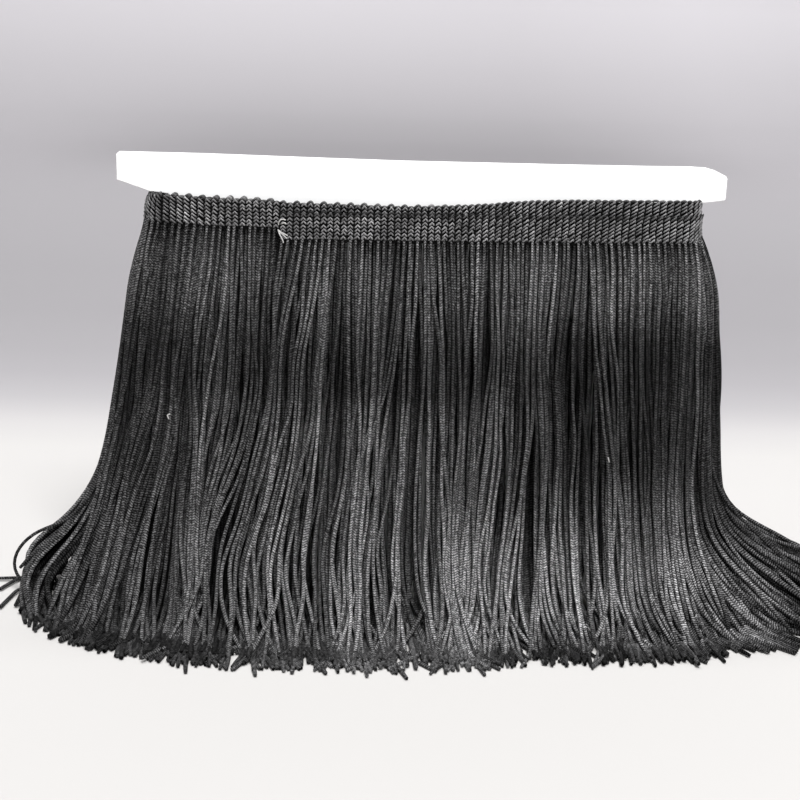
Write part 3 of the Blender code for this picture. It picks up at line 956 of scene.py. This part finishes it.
def stitch_lines(along_places):
    """Each stitch is one chevron: its tip stands proud in the middle of its column and both legs
    slope down and in. Towards the ends the chevrons are pulled into single slanting strokes. Painted
    shade darkens each stitch's two ends, where it tucks into the tape, and the top row where the outer turn
    lies on the inner one."""
    row_height = HEADING_HEIGHT / ROWS
    asides = np.array([-0.43, -0.31, -0.15, 0.0, 0.15, 0.31, 0.43]) * COLUMN
    pull = STITCH_PULL * np.array([0.0, 0.4, 0.8, 1.0, 0.8, 0.4, 0.0]) * COLUMN
    ups = np.array([-0.92, -0.62, -0.22, 0.10, -0.22, -0.62, -0.92]) * row_height
    steeper = np.array([-0.24, -0.14, -0.04, 0.06, 0.0, -0.10, -0.20]) * row_height
    offs = np.array([-0.00012, 0.00042, 0.00085, 0.00102, 0.00085, 0.00042, -0.00012])
    short_leg = np.array([0.0, 0.0, 0.0, 0.0, 0.5, 1.0, 1.0]) * STITCH_LEG_TUCK
    legs = np.array([0.40, 1.10, 1.20, 0.62, 1.20, 1.10, 0.40])
    one_leg = np.array([0.40, 1.00, 1.25, 1.20, 0.70, 0.30, 0.30])
    along, up, off, tones = [], [], [], []
    for row in range(ROWS):
        for place in along_places:
            jitter = rng.normal(0, STITCH_SCATTER, 2)
            x = float(oval(place, 0.0)[0][0])
            slant = float(smooth_step(x, *SLANTS_TO_RIGHT) - smooth_step(-x, *SLANTS_TO_LEFT))
            turned = slice(None) if slant >= 0 else slice(None, None, -1)
            along.append(place + asides + pull * slant + jitter[0])
            up.append((row + 0.85) * row_height + ups + steeper[turned] * abs(slant) + jitter[1])
            proud = 1 - FLATTER_AT_ENDS * float(smooth_step(abs(x), *FLATTER_PLACES))
            off.append((offs - short_leg[turned] * abs(slant)) * proud + rng.normal(0, STITCH_SCATTER))
            shaded = TOP_ROW_SHADE * float(dropped(place)) * (row == ROWS - 1)
            tones.append((legs + (one_leg[turned] - legs) * abs(slant)) * (1 - shaded))
    lines = tape_point(np.array(along), np.array(off), np.array(up))
    own = rng.normal(0, STITCH_TONE_SCATTER, (len(lines), 1))
    return lines, np.array(tones) * np.exp(own) * heading_tone(lines[:, :, 0])


def heading_tone(x):
    """Painted shade on the heading: a little darker to the right, and darker still round its left end."""
    lit = (1 - RIGHT_SHADE * smooth_step(x, 0.0, 0.05)) * (1 - LEFT_SHADE * smooth_step(-x, 0.020, 0.050))
    return lit * (1 - LEFT_END_SHADE * smooth_step(-x, 0.070, 0.080))


def make_stitches():
    pieces = []
    for index, layer in enumerate(("outer", "inner")):
        low = CUT_END + index * ROUND
        columns = places_along(low + COLUMN / 2, low + ROUND, COLUMN)
        lines, tones = stitch_lines(columns)
        radii = np.full(lines.shape[:2], STITCH_RADIUS)
        radii[:, [0, -1]] *= STITCH_END_SHARE
        pieces.append(tube_mesh(f"stitches_{layer}", lines, radii, 5, first_normal=(0, 0, 1), tones=tones))
    return pieces


def make_edge_knobs():
    """The cast-off edge: a slanted knob over each column, large and small by turns to the left.
    Where the outer turn lies on the inner one, they are thin. Their colour is painted shade: darker
    than the stitches, darker still at their ends, and nearly black where they are thin."""
    along = places_along(CUT_END + COLUMN / 2, CUT_END + TURNS * ROUND - COLUMN / 2, COLUMN)
    share = np.linspace(-1, 1, 7)[None, :]
    hump = np.cos(share * math.pi / 2)
    x = oval(along, 0.0)[0][:, :1]
    by_turns = np.where(np.arange(along.size)[:, None] % 2 == 0, 1.0, -1.0)
    by_turns = by_turns * (1 - smooth_step(x, -0.010, 0.020))
    thin = dropped(along)[:, None]
    places = along[:, None] + (0.50 * share + 0.12 * hump) * COLUMN
    rise = EDGE_KNOB_RISE + EDGE_KNOB_BY_TURNS * by_turns
    up = HEADING_HEIGHT - EDGE_KNOB_FOOT + hump * rise - EDGE_KNOB_THIN_DROP * thin
    up = up + rng.normal(0, EDGE_KNOB_SCATTER, (along.size, 1))
    off = EDGE_KNOB_SLANT * share * (1 - thin)
    lines = tape_point(places, off + np.zeros_like(up), up)
    radii = EDGE_KNOB_RADIUS * (0.65 + 0.35 * hump) * (1 + 0.15 * by_turns - 0.35 * thin)
    tones = EDGE_KNOB_SHADED_TONE * (0.35 + 0.65 * hump) * np.exp(rng.normal(0, 0.25, (len(lines), 1)))
    tones = tones * heading_tone(lines[:, :, 0]) * (1 - 0.85 * thin)
    return tube_mesh("heading_edge_knobs", lines, radii, 6, first_normal=(0, 0, 1), tones=tones)


def make_thread_end():
    """A pale thread end that ties off the tape's cut end, with a short frayed tail."""
    lines = []
    for points in THREAD_LINES:
        line = smooth_line(points, 24, 4, by_length=False)
        lines.append(tape_point(CUT_END + line[:, 0], line[:, 2], line[:, 1]))
    return tube_mesh("thread_end", np.array(lines), THREAD_RADIUS, 6, first_normal=(0, 0, 1))


# Board


def make_board():
    """The winding board as a closed plate with softly rounded edges."""
    outline = np.array(BOARD_OUTLINE) / 1000
    along = unit(np.roll(outline, -1, 0) - outline)
    facing = np.stack([along[:, 1], -along[:, 0]], -1)
    before = np.roll(facing, 1, 0)
    corner = (before + facing) / (1 + (before * facing).sum(-1, keepdims=True))
    rings = []
    for degrees in (0, 45, 90):
        inside = BOARD_EDGE * (1 - math.sin(math.radians(degrees)))
        rings.append((inside, BOARD_THICKNESS / 2 - BOARD_EDGE * (1 - math.cos(math.radians(degrees)))))
    rings = [(inside, -off) for inside, off in rings] + rings[::-1]
    points = []
    for inside, off in rings:
        flat = outline - corner * inside
        points.append(np.stack([flat[:, 0], np.full(len(flat), off), flat[:, 1]], -1))
    size = len(outline)
    faces = [list(range(size)), [(len(rings) - 1) * size + k for k in reversed(range(size))]]
    faces += ring_quads(len(rings), size)[:, [0, 3, 2, 1]].tolist()
    board = mesh_object("board", np.concatenate(points), faces, smooth=False)
    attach(board, "root")
    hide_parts("winding_board")
    return board


# Materials

CHAINS_ROUND = 2.0
CHAIN_STITCHES = 10 / 0.80
CHAIN_SLANT = 1.1
CHAIN_DEPTH = 0.00026
CHAINETTE_COLOUR = (0.200, 0.198, 0.201)
PLIES_ROUND = 5.0
PLY_TWIST = 12.0
FINE_BUMP = 0.0001

# Darkest and lightest colour of each material that is mottled between the two; for the yarn the lightest is a
# painted highlight
YARN_COLOUR_AND_HIGHLIGHT = ((0.002, 0.002, 0.002), (0.70, 0.69, 0.70))
FOAM_COLOURS = ((0.93, 0.93, 0.93), (0.97, 0.97, 0.97))
GROUND_COLOURS = ((0.0015, 0.0015, 0.0015), (0.006, 0.006, 0.006))
THREAD_COLOURS = ((0.25, 0.245, 0.24), (0.70, 0.69, 0.68))


class Shading:
    """A new material, with short calls for the nodes that feed its shader."""

    def __init__(self, name, roughness):
        self.material = bpy.data.materials.new(name)
        self.material.use_nodes = True
        self.nodes = self.material.node_tree.nodes
        self.shader = self.nodes["Principled BSDF"]
        self.shader.inputs["Roughness"].default_value = roughness

    def put(self, socket, value):
        """Sets a socket to a value, or links a node's output to it."""
        if isinstance(value, bpy.types.NodeSocket):
            self.material.node_tree.links.new(value, socket)
        else:
            socket.default_value = value

    def math(self, operation, *values):
        node = self.nodes.new("ShaderNodeMath")
        node.operation = operation
        for socket, value in zip(node.inputs, values):
            self.put(socket, value)
        return node.outputs[0]

    def times(self, one, other):
        return self.math("MULTIPLY", one, other)

    def uv(self, name):
        """The two values of a UV map."""
        uv = self.nodes.new("ShaderNodeUVMap")
        uv.uv_map = name
        split = self.nodes.new("ShaderNodeSeparateXYZ")
        self.put(split.inputs[0], uv.outputs[0])
        return split.outputs[0], split.outputs[1]

    def noise(self, scale, detail=2.0, coordinates="Object"):
        noise = self.nodes.new("ShaderNodeTexNoise")
        noise.inputs["Scale"].default_value = scale
        noise.inputs["Detail"].default_value = detail
        place = self.nodes.new("ShaderNodeTexCoord")
        self.put(noise.inputs["Vector"], place.outputs[coordinates])
        return noise.outputs[0]

    def scaled(self, colour, share):
        node = self.nodes.new("ShaderNodeVectorMath")
        node.operation = "SCALE"
        self.put(node.inputs[0], colour)
        self.put(node.inputs["Scale"], share)
        return node.outputs[0]

    def blend(self, share, dark, light):
        mix = self.nodes.new("ShaderNodeMix")
        mix.data_type = "RGBA"
        mix.inputs["A"].default_value = (*dark, 1)
        mix.inputs["B"].default_value = (*light, 1)
        self.put(mix.inputs["Factor"], share)
        return mix.outputs["Result"]

    def finish(self, colour, gloss, height, strength, distance):
        """Puts the colour, the gloss and a bump of this height on the shader."""
        self.put(self.shader.inputs["Base Color"], colour)
        self.put(self.shader.inputs["Specular IOR Level"], gloss)
        bump = self.nodes.new("ShaderNodeBump")
        bump.inputs["Strength"].default_value = strength
        bump.inputs["Distance"].default_value = distance
        self.put(bump.inputs["Height"], height)
        self.put(self.shader.inputs["Normal"], bump.outputs[0])
        return self.material


def chainette_material():
    """Knitted cord: chains of V stitches round the strand, in a satin black. Its colour holds a painted
    highlight on each stitch's crest, painted shade in the grooves, painted glints and the strands'
    painted light and shade, which also scale its gloss.
    """
    cord = Shading("black_chainette_fine", 0.45)
    round_place, along = cord.uv("along")
    tones_with_painted_light, _ = cord.uv("tone")
    share = cord.math("FRACT", cord.times(round_place, CHAINS_ROUND))
    aside = cord.math("ABSOLUTE", cord.math("SUBTRACT", share, 0.5))
    slant = cord.times(aside, CHAIN_SLANT)
    phase = cord.math("ADD", cord.times(along, CHAIN_STITCHES), slant)
    height = cord.math("SINE", cord.times(cord.math("FRACT", phase), math.pi))
    # Painted highlight on each stitch's crest and painted shade in the grooves between them
    lit = cord.math("MULTIPLY_ADD", cord.math("POWER", height, 1.8), 0.90, 0.10)
    tone = cord.math("MULTIPLY_ADD", cord.noise(90.0, 3.0), 0.7, 0.65)
    # Painted glints scattered over the strands
    painted_glints = cord.math("MULTIPLY_ADD", cord.noise(1300.0, 1.0), 4.0, -1.0)
    tone = cord.times(tone, cord.math("MAXIMUM", painted_glints, 0.25))
    tone = cord.times(tone, tones_with_painted_light)
    shade = cord.math("ADD", cord.times(tone, lit), 0.004)
    gloss = cord.times(cord.times(lit, tones_with_painted_light), 0.14)
    return cord.finish(cord.scaled(CHAINETTE_COLOUR, shade), gloss, height, 1.0, CHAIN_DEPTH)


def knit_material():
    """The tape's yarn: fine plies along each stitch, with a painted highlight on each ply's ridge and the
    stitches' painted shade.
    """
    yarn = Shading("black_knit_fine", 0.5)
    round_place, along = yarn.uv("along")
    tones_with_painted_light, _ = yarn.uv("tone")
    plies = yarn.times(round_place, PLIES_ROUND)
    phase = yarn.math("ADD", plies, yarn.times(along, PLY_TWIST))
    ridge = yarn.math("SINE", yarn.times(yarn.math("FRACT", phase), math.pi))
    lit = yarn.times(yarn.times(ridge, yarn.noise(160.0)), tones_with_painted_light)
    colour = yarn.blend(lit, *YARN_COLOUR_AND_HIGHLIGHT)
    return yarn.finish(colour, yarn.times(ridge, 0.3), ridge, 0.7, FINE_BUMP)


def plain_noise_material(name, dark, light, scale, roughness, gloss=0.3):
    plain = Shading(name, roughness)
    noise = plain.noise(scale, 4.0)
    return plain.finish(plain.blend(noise, dark, light), gloss, noise, 0.5, FINE_BUMP)


def foam_material():
    return plain_noise_material("white_foam_board", *FOAM_COLOURS, 120.0, 0.55)


def ground_material():
    return plain_noise_material("black_tape_ground", *GROUND_COLOURS, 500.0, 0.9, 0.05)


def thread_material():
    return plain_noise_material("pale_thread", *THREAD_COLOURS, 900.0, 0.35)


# Stage, light and camera

# Painted light and shade of the backdrop at distances behind the board, in metres along its floor and wall
BACKDROP_PAINTED_SHADES = [
    (-0.30, 0.470), (-0.10, 0.482), (0.10, 0.513), (0.145, 0.512), (0.18, 0.474), (0.20, 0.425),
    (0.222, 0.378), (0.262, 0.335), (0.31, 0.314), (0.40, 0.303), (0.53, 0.314), (0.66, 0.337),
    (0.90, 0.378), (1.15, 0.425), (1.35, 0.445), (1.47, 0.495), (1.60, 0.578),
]
FLOOR_TINT = (1.021, 1.0, 0.982)
WALL_TINT = (1.008, 0.977, 1.017)
WALL_TINT_FROM = 0.14
WALL_TINT_AT = 0.25

# The painted soft shadow on the wall behind the board: across and along the backdrop, in metres
HALO_PLACE = (0.04, 1.20)
HALO_SIZE = (0.34, 0.19)
HALO_FALL = (4.0, 2.0)
HALO_PAINTED_SHADOW = 0.26

# Painted light: the wall grows a little brighter to the right
BRIGHTER_FROM = 0.20
BRIGHTER_OVER = 0.24
BRIGHTER = 0.09

# The stage: a floor that curves up into a wall, in metres
STAGE_FRONT = -2.5
WALL_FOOT = 1.2
WALL_CURVE = 0.5
WALL_TOP = 3.0
STAGE_HALF_WIDTH = 4.0

# Lights: name, place, target, size and power
LIGHTS = [
    ("key", (0.22, -0.82, 1.32), (0, 0, 0.04), (0.50, 0.45), 25),
    ("front", (0.0, -1.3, 0.45), (0, 0, 0.08), (1.0, 0.6), 5),
    ("top", (-0.15, -0.25, 1.5), (0, 0, 0.02), (0.9, 0.7), 12),
    ("wall", (0.0, 0.5, 1.7), (0, 1.7, 0.5), (2.4, 0.5), 26),
]
WORLD_COLOUR = (0.95, 0.96, 1.0, 1)
WORLD_STRENGTH = 0.08

CAMERA_AZIMUTH = math.radians(-2.6)
CAMERA_ELEVATION = math.radians(15.9)
CAMERA_ROLL = math.radians(1.73)
CAMERA_DISTANCE = 0.4706
CAMERA_TARGET = Vector((-0.0053, 0.0, 0.0638))
CAMERA_LENS = 67.5


def backdrop_material():
    """Pale paper with painted light and shade: it darkens into a greyer wall, with a painted soft shadow
    behind the board.
    """
    paper = Shading("pale_backdrop", 0.8)
    x, along = paper.uv("along")
    low, high = BACKDROP_PAINTED_SHADES[0][0], BACKDROP_PAINTED_SHADES[-1][0]
    ramp = paper.nodes.new("ShaderNodeValToRGB")
    points = ramp.color_ramp.elements
    while len(points) < len(BACKDROP_PAINTED_SHADES):
        points.new(0.5)
    for point, (far, shade) in zip(points, BACKDROP_PAINTED_SHADES):
        point.position = (far - low) / (high - low)
        wall = float(smooth_step(far, WALL_TINT_FROM, WALL_TINT_AT))
        tint = [floor + (of_wall - floor) * wall for floor, of_wall in zip(FLOOR_TINT, WALL_TINT)]
        point.color = (*[shade * part for part in tint], 1)
    paper.put(ramp.inputs[0], paper.math("DIVIDE", paper.math("SUBTRACT", along, low), high - low))
    far = 0.0
    for value, place, size, fall in zip((x, along), HALO_PLACE, HALO_SIZE, HALO_FALL):
        off = paper.math("ABSOLUTE", paper.math("SUBTRACT", value, place))
        far = paper.math("ADD", paper.math("POWER", paper.math("DIVIDE", off, size), fall), far)
    halo = paper.math("EXPONENT", paper.times(far, -1.0))
    right = paper.math("SUBTRACT", x, BRIGHTER_FROM)
    right = paper.times(right, BRIGHTER / BRIGHTER_OVER)
    right = paper.math("MINIMUM", paper.math("MAXIMUM", right, 0.0), BRIGHTER)
    lit = paper.math("ADD", paper.math("MULTIPLY_ADD", halo, -HALO_PAINTED_SHADOW, 1.0), right)
    grain = paper.noise(300.0, coordinates="Generated")
    return paper.finish(paper.scaled(ramp.outputs[0], lit), 0.2, grain, 0.1, FINE_BUMP)


def make_stage():
    """A pale floor that curves up into a wall far behind."""
    profile = [(STAGE_FRONT, 0.0), (WALL_FOOT, 0.0)]
    for degrees in range(10, 91, 10):
        angle = math.radians(degrees)
        profile.append((WALL_FOOT + WALL_CURVE * math.sin(angle), WALL_CURVE - WALL_CURVE * math.cos(angle)))
    profile.append((WALL_FOOT + WALL_CURVE, WALL_TOP))
    points = np.array([(x, y, z) for x in (-STAGE_HALF_WIDTH, STAGE_HALF_WIDTH) for y, z in profile])
    size = len(profile)
    faces = [[k, size + k, size + k + 1, k + 1] for k in range(size - 1)]
    far = lengths_along(np.array(profile)) + STAGE_FRONT
    uvs = [(points[corner][0], far[corner % size]) for face in faces for corner in face]
    floor = mesh_object("floor", points, faces, uvs)
    floor.data.materials.append(backdrop_material())


def area_light(name, place, target, size, power):
    light = bpy.data.lights.new(name, "AREA")
    light.shape = "RECTANGLE"
    light.size, light.size_y = size
    light.energy = power
    lamp = bpy.data.objects.new(name, light)
    lamp.location = place
    lamp.rotation_euler = (Vector(target) - Vector(place)).to_track_quat("-Z", "Y").to_euler()
    bpy.context.scene.collection.objects.link(lamp)


def make_lights():
    for light in LIGHTS:
        area_light(*light)
    world = bpy.data.worlds.new("studio")
    world.use_nodes = True
    world.node_tree.nodes["Background"].inputs[0].default_value = WORLD_COLOUR
    world.node_tree.nodes["Background"].inputs[1].default_value = WORLD_STRENGTH
    bpy.context.scene.world = world


def make_camera():
    back = Vector(
        (
            math.sin(CAMERA_AZIMUTH) * math.cos(CAMERA_ELEVATION),
            -math.cos(CAMERA_AZIMUTH) * math.cos(CAMERA_ELEVATION),
            math.sin(CAMERA_ELEVATION),
        )
    )
    data = bpy.data.cameras.new("camera")
    data.lens = CAMERA_LENS
    data.sensor_width = 36.0
    data.clip_start = 0.01
    camera = bpy.data.objects.new("camera", data)
    bpy.context.scene.collection.objects.link(camera)
    turned = back.to_track_quat("Z", "Y").to_matrix().to_4x4() @ Matrix.Rotation(CAMERA_ROLL, 4, "Z")
    camera.matrix_world = Matrix.Translation(CAMERA_TARGET + back * CAMERA_DISTANCE) @ turned
    bpy.context.scene.camera = camera
    bpy.context.scene.view_settings.view_transform = "Standard"


def main():
    make_camera()
    make_stage()
    make_lights()
    board = make_board()
    tape = make_tape()
    stitches = make_stitches()
    knobs = make_edge_knobs()
    thread = make_thread_end()
    strands, paths = make_fringe()
    strays = make_strays()
    lint = make_lint(paths)
    for piece in [*stitches, knobs, thread]:
        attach(piece, "root")
    for piece in [strays, lint]:
        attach(piece, "root")
    looks = [
        ([board], foam_material()),
        ([tape], ground_material()),
        ([*stitches, knobs], knit_material()),
        ([thread, lint], thread_material()),
        ([*strands, strays], chainette_material()),
    ]
    for pieces, material in looks:
        for piece in pieces:
            piece.data.materials.append(material)


main()
